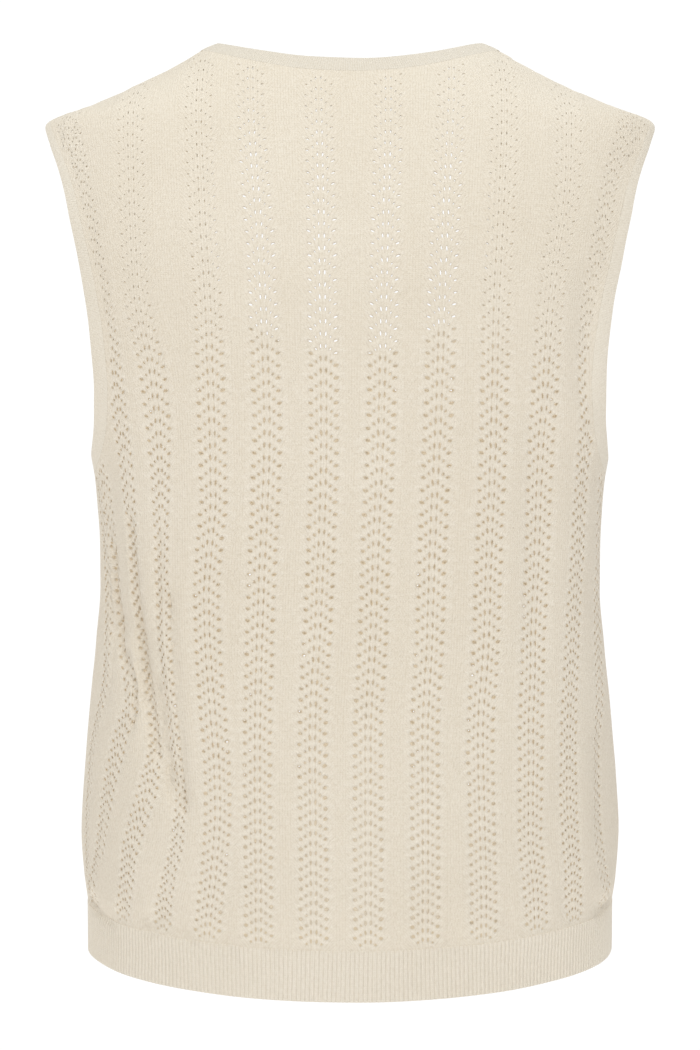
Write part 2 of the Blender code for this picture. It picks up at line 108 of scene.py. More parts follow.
# Soft folds of each side: troughs (depth above 0) and ridges (below 0) between two points, as
# (along, height, along, height, half width, depth) in millimetres
FOLDS = {
    BACK: (
        (170, -262, 158, -395, 11, 4), (147, -352, 104, -500, 8, 3.4), (166, -350, 148, -430, 7, 2),
        (136, -400, 142, -500, 9, -1.4), (-149, -140, -150, -245, 10, 2.6),
        (-117, -230, -118, -405, 11, 2.2), (-181, -425, -178, -520, 10, 3),
        (-139, -450, -128, -520, 9, 1.4), (70, -90, 62, -180, 14, 1),
        (164, -508, 92, -528, 10, -1.6), (78, -578, 74, -545, 7, 2), (42, -574, 40, -545, 7, 1.6),
        (5, -572, 4, -540, 7, 1.7), (-64, -576, -62, -546, 7, 1.8),
        (-105, -570, -103, -540, 7, 1.7), (-146, -562, -141, -522, 8, 2.1),
        (-181, -568, -180, -535, 7, 1.9), (184, -562, 181, -525, 8, 2),
        (128, -566, 126, -540, 7, 1.7), (212, -535, 150, -551, 7.5, -3.6),
        (148, -542, 118, -553, 7, -1.2), (-210, -535, -158, -550, 7.5, -3),
    ),
    FRONT: (
        (150, -235, 112, -320, 10, 3.4), (-153, -240, -118, -335, 10, 3.2),
        (128, -400, 104, -500, 9, 2.8), (-140, -380, -125, -480, 9, 2.8),
        (66, -220, 50, -300, 11, 1.4), (-58, -230, -48, -310, 11, 1.4),
        (172, -430, 168, -520, 9, 2.4), (-176, -440, -170, -525, 9, 2.4),
        (60, -556, 58, -525, 7, 1.7), (112, -556, 110, -522, 7, 1.8),
        (160, -560, 158, -525, 7, 1.8), (-52, -556, -50, -528, 7, 1.8),
        (-98, -556, -96, -524, 7, 1.7), (-150, -560, -147, -526, 7, 1.9),
    ),
}

# Sharp creases of the back: half width, depth, and points as (along, height) in millimetres
CREASES = (
    (2.2, 1.6, ((178, -330), (174, -357), (166, -384), (164, -400), (168, -418), (176, -436))),
    (2.4, 3.2, ((172, -318), (167, -354), (162, -377), (156, -392), (147, -408))),
    (2.4, 3.5, ((153, -386), (143, -411), (141, -427), (147, -445))),
    (3.4, 3.9, ((148, -300), (143, -340), (141, -365), (137, -395), (132, -414), (127, -442),
                (124, -462))),
    (2.4, 3.5, ((126, -400), (123, -421), (119, -445), (116, -463), (115, -482))),
    (2.2, 1.8, ((124, -310), (123, -336), (124, -384), (121, -410), (116, -436))),
    (2.4, 2.8, ((116, -345), (114, -379), (111, -410), (108, -442), (106, -468), (105, -492))),
    (2.6, 2.2, ((212, -549), (201, -553), (185, -557), (168, -561), (158, -562))),
    (2.6, 2.0, ((-212, -549), (-201, -553), (-188, -556), (-174, -559))),
    (2.4, 2.0, ((141, -546), (137, -555), (131, -561), (124, -563))),
    (2.4, 2.0, ((109, -551), (105, -560), (99, -566), (92, -569))),
)
CREASE_END = 0.012  # a crease or fold fades out over this length at each end
FOLD_END = 0.026
FOLD_SIDE_CLEAR = 0.010  # and over this width towards a side or shoulder seam
CREASE_STEP = 0.0028
CREASE_NODES = (-1.7, -0.85, 0, 0.85, 1.7)  # across a crease, in half widths
DRIFT = 0.0004  # height of the cloth's slow waves

# Height of one lace repeat, by height on the body
REPEAT_HEIGHTS = (0.0, -0.0965, -0.1346, -0.2087, -0.2454, -0.2821, -0.3189, -0.3557, -0.3923,
                  -0.4286, -0.4646, -0.5002, -0.5356, -0.62)
REPEATS = (0.00720, 0.00730, 0.00760, 0.00750, 0.00770, 0.00760, 0.00740, 0.00715, 0.00685,
           0.00675, 0.00640, 0.00600, 0.00585, 0.00580)
USUAL_REPEAT = 0.0076
ROWS_LEVEL = -0.28  # above this the rows are level; below it they bend to the hem's line

# Centre lines of the lace columns: heights, and the distance along at each, both in millimetres
BACK_COLUMNS = (
    ((-270, 190), (-333, 179), (-372, 174), (-396, 172), (-415, 174), (-433, 181), (-446, 187),
     (-470, 192), (-520, 200), (-600, 207)),
    ((0, 186), (-270, 180), (-337, 168), (-374, 162), (-411, 148), (-421, 145), (-436, 151),
     (-458, 159), (-480, 167), (-513, 176), (-537, 189), (-600, 196)),
    ((-40, 184), (-90, 173), (-136, 164), (-189, 155), (-224, 151), (-325, 144), (-380, 140),
     (-410, 133), (-437, 128), (-453, 127), (-475, 131), (-497, 140), (-521, 147), (-559, 155),
     (-600, 158)),
    ((0, 140), (-51, 139), (-167, 134), (-225, 123), (-260, 121), (-319, 121), (-373, 120),
     (-405, 117), (-436, 113), (-468, 110), (-484, 108), (-505, 109), (-526, 115), (-549, 121),
     (-600, 125)),
    ((0, 96), (-50, 95), (-109, 92), (-190, 87), (-288, 85), (-356, 90), (-484, 82), (-563, 90)),
    ((0, 64), (-50, 62), (-159, 54), (-251, 51), (-356, 55), (-441, 57), (-534, 56)),
    ((0, 21), (-30, 20), (-159, 17), (-251, 16), (-356, 19), (-441, 23), (-533, 22)),
    ((0, -24), (-30, -24), (-159, -21), (-251, -19), (-319, -16), (-380, -14), (-441, -11),
     (-533, -11)),
    ((0, -65), (-30, -64), (-159, -57), (-251, -54), (-319, -51), (-380, -49), (-441, -46),
     (-533, -46)),
    ((0, -98), (-50, -97), (-109, -94), (-186, -90), (-257, -89), (-319, -87), (-381, -85),
     (-442, -81), (-535, -83)),
    ((0, -140), (-97, -137), (-144, -129), (-192, -124), (-257, -122), (-319, -121), (-382, -118),
     (-443, -115), (-503, -115), (-534, -119), (-600, -124)),
    ((-40, -184), (-95, -167), (-144, -158), (-191, -153), (-257, -156), (-320, -154),
     (-383, -149), (-444, -144), (-506, -146), (-537, -151), (-600, -156)),
    ((0, -188), (-270, -188), (-320, -187), (-383, -181), (-447, -177), (-509, -176),
     (-542, -187), (-600, -194)),
)
FRONT_COLUMNS = (
    ((0, 42), (-200, 40), (-350, 39), (-600, 41)),
    ((0, 80), (-120, 79), (-350, 77), (-480, 78), (-600, 80)),
    ((0, 118), (-120, 117), (-260, 114), (-350, 115), (-480, 117), (-600, 119)),
    ((0, 155), (-120, 153), (-260, 149), (-350, 150), (-480, 153), (-600, 155)),
    ((0, 192), (-120, 190), (-260, 186), (-350, 187), (-480, 189), (-600, 192)),
)
COLUMN_WIDTH = 0.036

# How far creases close up the outer lace columns of the back: heights in millimetres, share
NARROWED = {
    0: ((-600, 0.5), (-470, 0.5), (-430, 0.40), (-300, 0.35)),
    1: ((-600, 0.55), (-500, 0.62), (-450, 0.80), (-420, 0.65), (-380, 0.40), (-330, 0.40),
        (-290, 0.60), (-240, 1.0)),
    2: ((-600, 0.65), (-545, 0.65), (-500, 0.85), (-478, 0.85), (-456, 0.50), (-440, 0.30),
        (-385, 0.30), (-350, 0.42), (-325, 0.45), (-290, 0.60), (-240, 0.66)),
    3: ((-600, 0.85), (-555, 0.75), (-520, 0.50), (-465, 0.42), (-435, 0.38), (-405, 0.44),
        (-375, 0.52), (-330, 0.55), (-290, 0.70), (-240, 1.0)),
    11: ((-600, 0.80), (-430, 0.80), (-330, 0.75), (-270, 0.68)),
    12: ((-600, 0.60), (-450, 0.60), (-330, 0.85), (-250, 1.0)),
}

# How the courses arch over a lace column: distance from its centre line, and drop, in millimetres
ARCH = ((0, -0.3), (1.65, 0.0), (4.5, 2.2), (7.75, 4.7), (11, 6.1), (16, 6.9), (30, 6.9))

# Eyelets of one repeat, on each side of the centre line: distance from it, lean of the ray they
# open along (degrees from upright), half length and half width; millimetres
EYELETS = ((1.65, 4, 1.45, 0.52), (4.50, 32, 0.85, 0.52), (7.75, 68, 1.25, 0.76))
EYELETS_APART = 0.0021
CLOSED_BELOW = -0.552  # here the eyelets lie over the rib's seam and are only dimples
UPPER_WIDER = (0.05, -0.20)  # of the inner and the outer eyelets, above the neck opening
EYELET_SIZE = 0.94
SHOULDER_SMALLER = 0.42  # the eyelets are tight at the shoulders
ARMHOLE_OPENER = 0.6  # but less so beside the armholes, by this share
TOP_SMALLER = 0.30
EYELET_SIDES = 6
EYELET_SPREAD = 1.10  # makes up for the hexagon's flat ends
EYELET_CLEAR = 0.0034  # no eyelet lies nearer to an edge than this
BETWEEN_POINTS = (0.0, 5.0, 9.0, 13.5)  # extra points half a repeat up, by distance in millimetres
LEVEL_POINTS = (12.5,)  # and level with the eyelets
EXTRAS_APART = 0.0021
EXTRAS_CLEAR = 0.0025
CELL = 0.004  # size of the cells that are searched for points too near
SIDE_POINTS = (0.006, 0.013, 0.020)  # extra points this far from the sides

# Ramps: where along or up the cloth a change sets in, and how far on it is complete
SHOULDER_OUT = (0.072, 0.03)
SHOULDER_UP = (-0.225, 0.09)
ARMHOLE_OUT = (0.142, 0.01)
TOP_UP = (-0.090, 0.05)
WIDER_UP = (-0.225, 0.04)
# less painted tan shade round the eyelets, going up
LESS_PAINTED_SHADE_UP = (-0.215, 0.05)
RELIEF_OUT = (0.085, 0.04)
RELIEF_DOWN = (-0.10, -0.14)

# Relief of the lace, in metres: height, and distance from the centre line and half width in
# millimetres. The rays and petals swell and ebb within each repeat
RIDGE = (0.00030, 0, 1.1)
RAY = (0.00035, 3.1, 1.2)
PETAL = (0.00095, 7.9, 2.4)
PLAIN_RELIEF = 0.00060
UPPER_RELIEF = (0.35, 0.40)  # share of the relief left at the top, and what the shoulders add
RELIEF_SUNK = 0.0003  # how far the lowest lace lies below the form

# Stitches
WALES = 21  # in one column's width
COURSES = 6  # in one repeat
WALE_STEPS = (3.2, 6.1, 10.5, 14.5)  # distances at which the lean of the wales changes, in mm
WALE_LEANS = (0, 1, 2, 3, 0)  # wales crossed in one repeat, between those distances
HEM_RIBS = {BACK: 169, FRONT: 78}
RIB_STEPS, RIB_ROWS = 6, 12
RIB_RIDGE = 0.0006
RIB_SLANT = 0.0009
BAND_RIB = 0.00145
ARMHOLE_RIB = 0.00165
BAND_COURSE = 0.0012
RIB_COURSE = 0.00135
BAND_SHARES = np.linspace(0, 1, 7)  # where across a band its nodes lie

BUTTONS = 6
BUTTON_RADIUS = 0.0070
BUTTON_THICK = 0.0026
BUTTON_FROM_TOP = 0.0120
BUTTON_FROM_HEM = 0.0155
BUTTON_HOLE_RADIUS = 0.0009
BUTTON_HOLE_OFFSET = 0.0014
BUTTON_SEAT = 0.0015  # from the right band's middle surface to the button's underside
BUTTON_PROFILE = (
    (0, -0.50), (0.76, -0.50), (0.90, -0.40), (0.98, -0.14), (1.00, 0.06), (0.985, 0.26),
    (0.94, 0.42), (0.88, 0.49), (0.82, 0.47), (0.75, 0.36), (0.66, 0.27), (0.40, 0.22), (0, 0.20),
)
THREAD_RADIUS = 0.00034
THREAD_ARCH = 0.00055

CREAM = (0.930, 0.862, 0.748)
# darker end of the cream: painted shade in the stitch grooves, and darker random tone
CREAM_GROOVE_SHADE_AND_TONE = (0.640, 0.535, 0.385)
RIB_CREAM = (0.930, 0.868, 0.760)
# darker end of the rib cream: painted shade in the stitch grooves, and darker random tone
RIB_GROOVE_SHADE_AND_TONE = (0.680, 0.590, 0.450)
# the rib cream painted darker for the neck band, which sits in strong light: painted shade
NECK_BAND_SHADED_CREAM = (0.835, 0.780, 0.690)
# painted shade: the warm shadow inside and round each eyelet
EYELET_PAINTED_SHADE = (0.630, 0.490, 0.305)
SHELL = (0.78, 0.69, 0.55)
SHELL_DEEP = (0.66, 0.55, 0.40)
THREAD = (0.74, 0.66, 0.52)
FLOOR = ((0.93, 0.93, 0.93), (0.96, 0.96, 0.96))

FLOOR_RADIUS, FLOOR_LEVEL, FLOOR_SIDES = 3.1, -1.7, 96
SKY_LIGHT, SKY_SEEN = 0.565, 1.05
MIDDLE = (0, 0, -0.3)  # what the lights point at
AREA_LIGHTS = (  # name, place, size, power, colour
    ("back_high", (0.9, 2.2, 0.9), 1.6, 15.5, (1, 1, 1)),
    ("back_low", (-1.3, 1.9, -0.2), 1.6, 7.5, (1, 1, 1)),
    ("front_high", (-0.9, -2.2, 0.9), 1.6, 18, (1, 1, 1)),
    ("front_low", (1.3, -1.9, -0.2), 1.6, 10, (1, 1, 1)),
    ("under", (0, 0, -1.45), 0.9, 7, (1, 1, 1)),
    ("over", (0, 0.4, 1.3), 0.9, 7.5, (0.90, 0.97, 1.0)),
    ("side_left", (1.9, 0.7, -0.35), 1.2, 3.2, (1, 1, 1)),
    ("side_right", (-1.9, 0.7, -0.35), 1.2, 1.9, (1, 1, 1)),
)
# Small warm lights in the hollow, in place of what shines through the real cloth: height, power
LAMPS = ((-0.12, 0.030), (-0.32, 0.032), (-0.49, 0.026))
LAMP_COLOUR = (1.0, 0.92, 0.79)
CAMERA_PLACE = (0.0, 1.650, -0.2821)
CAMERA_TILT = 1.016  # degrees down
CAMERA_LENS = 87.0

draw = random.Random(11)

# ---- the body form


def smooth_through(places, values):
    """A function through the points that never swings past them (monotone cubic)."""
    places, values = np.asarray(places, float), np.asarray(values, float)
    steps = np.diff(places)
    slopes = np.diff(values) / steps
    tangents = np.zeros(len(places))
    tangents[0], tangents[-1] = slopes[0], slopes[-1]
    for i in range(1, len(slopes)):
        before, after = slopes[i - 1], slopes[i]
        if before * after > 0:
            near = 2 * steps[i] + steps[i - 1]
            far = steps[i] + 2 * steps[i - 1]
            tangents[i] = (near + far) / (near / before + far / after)

    def value(place):
        place = np.clip(place, places[0], places[-1])
        i = np.clip(np.searchsorted(places, place, side="right") - 1, 0, len(steps) - 1)
        share = (place - places[i]) / steps[i]
        rest = 1 - share
        return (
            (1 + 2 * share) * rest**2 * values[i]
            + share * rest**2 * steps[i] * tangents[i]
            + share**2 * (3 - 2 * share) * values[i + 1]
            - share**2 * rest * steps[i] * tangents[i + 1]
        )

    return value


def by_height(rows, scale=1):
    """A function of height, in metres, through (height in millimetres, value times scale) rows."""
    rows = sorted(rows)
    return smooth_through([h / 1000 for h, _ in rows], [value / scale for _, value in rows])


levels, *values = zip(*sorted(SECTIONS))
half_width, back_depth, front_depth, squareness = (smooth_through(levels, v) for v in values)
depth_of = {BACK: back_depth, FRONT: front_depth}

LEVELS = np.linspace(-0.602, 0.0, 1205)
SHARES = np.linspace(0, 1, 257)


def run_length(points):
    steps = np.linalg.norm(np.diff(points, axis=0), axis=1)
    return np.concatenate([[0], np.cumsum(steps)])


def section_tables(depth):
    """Across, out and girth of a side's section at each level, at even shares of its length."""
    angles = np.linspace(0, math.pi / 2, 400)
    rows = []
    for level in LEVELS:
        power = 2 / squareness(level)
        x = half_width(level) * np.sin(angles) ** power
        y = depth(level) * np.cos(angles) ** power
        length = run_length(np.stack([x, y], axis=-1))
        even = SHARES * length[-1]
        rows.append((np.interp(even, length, x), np.interp(even, length, y), length[-1]))
    return [np.array(table) for table in zip(*rows)]


TABLES = {facing: section_tables(depth) for facing, depth in depth_of.items()}


def girth(height, facing):
    return np.interp(height, LEVELS, TABLES[facing][2])


def between_cells(table, rows, columns):
    """Values of a table at fractional rows and columns."""
    row = np.clip(rows.astype(int), 0, table.shape[0] - 2)
    column = np.clip(columns.astype(int), 0, table.shape[1] - 2)
    down, right = rows - row, columns - column
    return (
        table[row, column] * (1 - down) * (1 - right)
        + table[row + 1, column] * down * (1 - right)
        + table[row, column + 1] * (1 - down) * right
        + table[row + 1, column + 1] * down * right
    )


def form_points(along, height, facing):
    """Points of the form and its outward normals, for arrays of nodes of one facing."""
    across, out, _ = TABLES[facing]
    share = np.clip(np.abs(along) / girth(height, facing), 0, 1)
    rows = np.interp(height, LEVELS, np.arange(len(LEVELS)))
    columns = share * (len(SHARES) - 1)
    x = between_cells(across, rows, columns)
    y = between_cells(out, rows, columns)

    def level(z):
        n = squareness(z)
        return (x / half_width(z)) ** n + (y / depth_of[facing](z)) ** n

    n = squareness(height)
    width, depth = half_width(height), depth_of[facing](height)
    probe = 0.001
    top = np.minimum(height + probe, 0.0)
    side = np.where(along < 0, -1.0, 1.0)
    normal = np.stack([
        side * (x / width) ** (n - 1) / width * n,
        facing * (y / depth) ** (n - 1) / depth * n,
        (level(top) - level(height - probe)) / (top - height + probe),
    ], axis=-1)
    normal /= np.linalg.norm(normal, axis=-1, keepdims=True)
    return np.stack([side * x, facing * y, height], axis=-1), normal


def fade(share):
    share = np.clip(share, 0, 1)
    return share * share * (3 - 2 * share)


def ramp(value, start, length):
    return fade((value - start) / length)


def along_polyline(along, height, line):
    """Distance of each node from a line of points, and how far along it the nearest point is."""
    nearest, travelled = np.full(along.shape, np.inf), np.zeros(along.shape)
    for start, end, passed in zip(line, line[1:], run_length(line)):
        run = end - start
        length = np.hypot(*run)
        share = (along - start[0]) * run[0] + (height - start[1]) * run[1]
        share = np.clip(share / max(length**2, 1e-12), 0, 1)
        away = np.hypot(along - start[0] - share * run[0], height - start[1] - share * run[1])
        closer = away < nearest
        nearest = np.where(closer, away, nearest)
        travelled = np.where(closer, passed + share * length, travelled)
    return nearest, travelled


def fold_depth(along, height, facing):
    """How far folds and creases sink the cloth below the form."""
    total = np.zeros_like(along)
    for row in FOLDS[facing]:
        along_1, height_1, along_2, height_2, width, depth = np.array(row) / 1000
        run = np.array([along_2 - along_1, height_2 - height_1])
        length = np.hypot(*run)
        travelled = ((along - along_1) * run[0] + (height - height_1) * run[1]) / length
        aside = ((along - along_1) * run[1] - (height - height_1) * run[0]) / length
        end = min(FOLD_END, length / 2)
        ends = fade(travelled / end) * fade((length - travelled) / end)
        total += depth * ends * np.exp(-((aside / width) ** 2))
    for width, depth, points in CREASES if facing == BACK else ():
        line = np.array(points, float) / 1000
        nearest, travelled = along_polyline(along, height, line)
        length = run_length(line)[-1]
        ends = fade(travelled / CREASE_END) * fade((length - travelled) / CREASE_END)
        total += depth / 1000 * ends * np.exp(-((nearest * 1000 / width) ** 2))
    return total * fade((girth(height, facing) - np.abs(along)) / FOLD_SIDE_CLEAR)


def drift(along, height, facing):
    """Slow unevenness of the cloth, under a millimetre."""
    wave = np.sin(along * 61 + height * 23 + facing) * np.sin(height * 47 - along * 17 + 1.3)
    wave += 0.6 * np.sin(along * 113 - height * 71 + 2.1) * np.sin(height * 97 + along * 31)
    return DRIFT * wave * fade((girth(height, facing) - np.abs(along)) / 0.02)


def place(along, height, facing, lift):
    """Points of nodes, moved out along the normal; facing may differ from node to node."""
    along, height = np.asarray(along, float), np.asarray(height, float)
    facing = np.broadcast_to(facing, along.shape)
    lift = np.broadcast_to(lift, along.shape)
    points = np.zeros(along.shape + (3,))
    for value in (BACK, FRONT):
        here = facing == value
        if here.any():
            nodes = along[here], height[here], value
            point, normal = form_points(*nodes)
            out = lift[here] - fold_depth(*nodes) + drift(*nodes)
            points[here] = point + normal * out[:, None]
    return points


def along_at(x, height, facing):
    across = TABLES[facing][0]
    rows = np.full(len(SHARES), np.interp(height, LEVELS, np.arange(len(LEVELS))))
    line = between_cells(across, rows, np.arange(len(SHARES), dtype=float))
    return math.copysign(float(np.interp(abs(x), line, SHARES * girth(height, facing))), x)


# ---- edges of the pieces


def hem_height(share, facing):
    return HEM_HEIGHT - HEM_DIP[facing] * np.cos(share * math.pi / 2)


def armhole_node(angle, inset, facing, side):
    bottom = ARMHOLE_BOTTOM - inset
    top = ARMHOLE_TOP + SHOULDER_RISE * inset
    height = (bottom + top) / 2 - (top - bottom) / 2 * np.cos(angle)
    scoop = (ARMHOLE_SCOOP[facing] + inset) * np.sin(angle)
    scoop *= 1 + ARMHOLE_FULLNESS * np.cos(angle)
    return side * (girth(height, facing) - scoop), height


def neck_side_height(inset):
    return -NECK_SIDE_DROP * inset


def back_neck_node(share, inset):
    side_height = neck_side_height(inset)
    drop = BACK_NECK_DEPTH + BACK_BAND_DROP * inset + side_height
    height = side_height - drop * (1 - share * share)
    return along_at(share * float(half_width(side_height)), height, BACK), height


def front_neck_node(share, inset, side):
    widest = FRONT_NECK_WIDEST + inset
    lowest = -FRONT_NECK_DEPTH - inset
    power = 2 / FRONT_NECK_SQUARENESS
    start = math.asin((FRONT_EDGE / widest) ** (1 / power))
    if share < 0.5:
        angle = start + (math.pi / 2 - start) * 2 * share
        x = widest * math.sin(angle) ** power
        height = FRONT_NECK_WIDEST_HEIGHT
        height += (lowest - FRONT_NECK_WIDEST_HEIGHT) * math.cos(angle) ** power
    else:
        climb = 2 * share - 1
        top = neck_side_height(inset)
        height = FRONT_NECK_WIDEST_HEIGHT + (top - FRONT_NECK_WIDEST_HEIGHT) * climb
        x = widest + (float(half_width(top)) - widest) * climb * climb
    return side * along_at(x, height, FRONT), height


def side_outline(facing, side):
    """The edge of a panel from the hem rib up the side seam and armhole to the neck band."""
    start = hem_height(1, facing) + PANEL_RAISED
    seam = np.linspace(start, ARMHOLE_BOTTOM - ARMHOLE_BAND - SEAM, 90)
    nodes = [(side * (girth(h, facing) - SEAM / 2), h) for h in seam]
    for angle in np.linspace(0, math.pi, 91)[1:-1]:
        along, height = armhole_node(angle, ARMHOLE_BAND + SEAM, facing, side)
        limit = girth(height, facing) - SEAM / 2
        nodes.append((side * min(abs(along), limit), height))
    top = ARMHOLE_TOP + SHOULDER_RISE * (ARMHOLE_BAND + SEAM)
    shoulder = np.linspace(top, neck_side_height(NECK_BAND + SEAM), 40)
    return nodes + [(side * (girth(h, facing) - SEAM / 2), h) for h in shoulder]


def bottom_line(facing, side, count, raised):
    """A level line of the hem rib, as distances along and heights; the back's runs to the left."""
    reach = float(girth(HEM_HEIGHT + raised, facing))
    end = reach - SEAM / 2
    start = side * FRONT_EDGE if facing == FRONT else -end
    along = np.linspace(start, side * end, count + 1)
    return along, hem_height(along / reach, facing) + raised


def back_outline():
    bottom = list(zip(*bottom_line(BACK, LEFT, 140, PANEL_RAISED)))
    neck = [back_neck_node(share, NECK_BAND + SEAM) for share in np.linspace(1, -1, 61)]
    left = side_outline(BACK, LEFT)
    right = side_outline(BACK, RIGHT)[::-1]
    return np.array(bottom[:-1] + left[:-1] + neck[:-1] + right[:-1], float)


def front_outline(side):
    bottom = list(zip(*bottom_line(FRONT, side, 70, PANEL_RAISED)))
    neck = [front_neck_node(s, NECK_BAND + SEAM, side) for s in np.linspace(1, 0, 91)]
    centre = [(side * FRONT_EDGE, h) for h in np.linspace(neck[-1][1], bottom[0][1], 110)][1:-1]
    return np.array(bottom[:-1] + side_outline(FRONT, side)[:-1] + neck + centre, float)


# ---- the lace lattice

FINE_LEVELS = np.linspace(-0.62, 0.0, 2481)


def repeat_size(height):
    return np.interp(-height, -np.array(REPEAT_HEIGHTS), REPEATS)


def repeat_counts():
    """How many lace repeats lie below each fine level."""
    size = repeat_size(FINE_LEVELS)
    step = FINE_LEVELS[1] - FINE_LEVELS[0]
    return np.concatenate([[0], np.cumsum(step / ((size[1:] + size[:-1]) / 2))])


REPEAT_COUNTS = repeat_counts()
arch_drop = smooth_through(*zip(*ARCH))


def side_rise(along, height, facing):
    """How much a row rises towards the side, to meet the hem's line."""
    bend = np.clip((ROWS_LEVEL - height) / (ROWS_LEVEL - HEM_HEIGHT), 0, 1.1)
    share = np.abs(along) / girth(height, facing)
    return HEM_DIP[facing] * bend * (1 - np.cos(np.clip(share, 0, 1) * math.pi / 2))


def column_lines(columns, side):
    return [by_height(column, side * 1000) for column in columns]


def narrowing(facing, column):
    """How far a column is closed up, by height."""
    if facing == FRONT or column not in NARROWED:
        return np.ones_like
    return by_height(NARROWED[column])


def lattice(along, height, facing, lines):
    """Nearest column, distance from its centre line, column width and repeat count of nodes.

    The distance is what it would be if the creases didn't close the column up.
    """
    def pick(table, which):
        return np.take_along_axis(table, which[None], axis=0)[0]

    centres = np.array([line(height) for line in lines])
    nearest = np.abs(centres - along).argmin(axis=0)
    closed = np.array([narrowing(facing, column)(height) for column in range(len(lines))])
    offset = (along - pick(centres, nearest)) / pick(closed, nearest)
    order = np.sort(centres, axis=0)
    place_in = np.clip((along > order).sum(axis=0) - 1, 0, len(lines) - 2)
    width = pick(np.diff(order, axis=0), place_in)
    width = np.clip(width, 0.8 * COLUMN_WIDTH, 1.2 * COLUMN_WIDTH)
    drop = arch_drop(np.abs(offset) * 1000 * COLUMN_WIDTH / width) / 1000
    drop = drop * repeat_size(height) / USUAL_REPEAT
    centre_height = height - side_rise(along, height, facing) + drop
    return nearest, offset, width, np.interp(centre_height, FINE_LEVELS, REPEAT_COUNTS)


def crease_nodes():
    """Extra points on both sides of each crease, so that the mesh can follow it."""
    nodes = []
    for width, _, points in CREASES:
        line = np.array(points, float) / 1000
        length = run_length(line)
        for travelled in np.arange(0.001, length[-1], CREASE_STEP):
            i = np.searchsorted(length, travelled, side="right") - 1
            run = (line[i + 1] - line[i]) / (length[i + 1] - length[i])
            spot = line[i] + run * (travelled - length[i])
            for share in CREASE_NODES:
                aside = share * width / 1000
                nodes.append((spot[0] - run[1] * aside, spot[1] + run[0] * aside))
    return nodes


def eyelet_size(along, height):
    """How large the eyelets are: small at the shoulders, open elsewhere."""
    out = abs(along)
    shoulder = ramp(out, *SHOULDER_OUT) * ramp(height, *SHOULDER_UP)
    shoulder *= 1 - ARMHOLE_OPENER * ramp(out, *ARMHOLE_OUT)
    top = ramp(height, *TOP_UP) * (1 - shoulder)
    return EYELET_SIZE - SHOULDER_SMALLER * shoulder - TOP_SMALLER * top


def lattice_nodes(facing, lines):
    """Eyelets as (along, height, lean, half length, half width), and the extra points."""
    eyelets, extras = [], crease_nodes() if facing == BACK else []
    for column, line in enumerate(lines):
        narrowed = narrowing(facing, column)
        for count in range(2, int(REPEAT_COUNTS[-1]) + 2):
            level = float(np.interp(count, REPEAT_COUNTS, FINE_LEVELS))
            between = float(np.interp(count + 0.5, REPEAT_COUNTS, FINE_LEVELS))
            stretch = float(repeat_size(level)) / USUAL_REPEAT
            centre = float(line(level))
            closed = float(narrowed(level))
            rise = float(side_rise(np.array(centre), level, facing))
            for away, lean, length, width in EYELETS:
                for side in (LEFT, RIGHT):
                    shift = away * (1 + draw.uniform(-0.04, 0.04))
                    height = level + rise - float(arch_drop(shift)) / 1000 * stretch
                    height += draw.uniform(-0.00022, 0.00022)
                    size = draw.uniform(0.84, 1.12) * (0.55 + 0.45 * closed)
                    size *= eyelet_size(centre, level)
                    slim = 1 + UPPER_WIDER[away > 2] * ramp(level, *WIDER_UP)
                    eyelets.append(
                        (float(line(height)) + side * shift * closed / 1000, height,
                         side * math.radians(lean * closed + draw.uniform(-7, 7)),
                         length * size * stretch / 1000, width * size * slim / 1000)
                    )
            for aways, base in ((BETWEEN_POINTS, between), (LEVEL_POINTS, level)):
                for away in aways:
                    height = base + rise - float(arch_drop(away)) / 1000 * stretch
                    for side in (LEFT, RIGHT) if away else (LEFT,):
                        extras.append((float(line(height)) + side * away * closed / 1000, height))
    return eyelets, extras


def inside(points, outline):
    """Which points lie inside the outline."""
    x, y = points.T
    result = np.zeros(len(points), bool)
    for (x1, y1), (x2, y2) in zip(outline, np.roll(outline, -1, axis=0)):
        if y1 != y2:
            result ^= ((y < y1) != (y < y2)) & (x < x1 + (y - y1) * (x2 - x1) / (y2 - y1))
    return result


def edge_distance(points, outline):
    return along_polyline(*points.T, np.concatenate([outline, outline[:1]]))[0]


def spread(cells, x, y, apart):
    """Whether a point is far enough from those kept before; if so it is kept too."""
    column, row = int(x // CELL), int(y // CELL)
    for i in (-1, 0, 1):
        for j in (-1, 0, 1):
            for a, b in cells.get((column + i, row + j), ()):
                if math.hypot(x - a, y - b) < apart:
                    return False
    cells.setdefault((column, row), []).append((x, y))
    return True


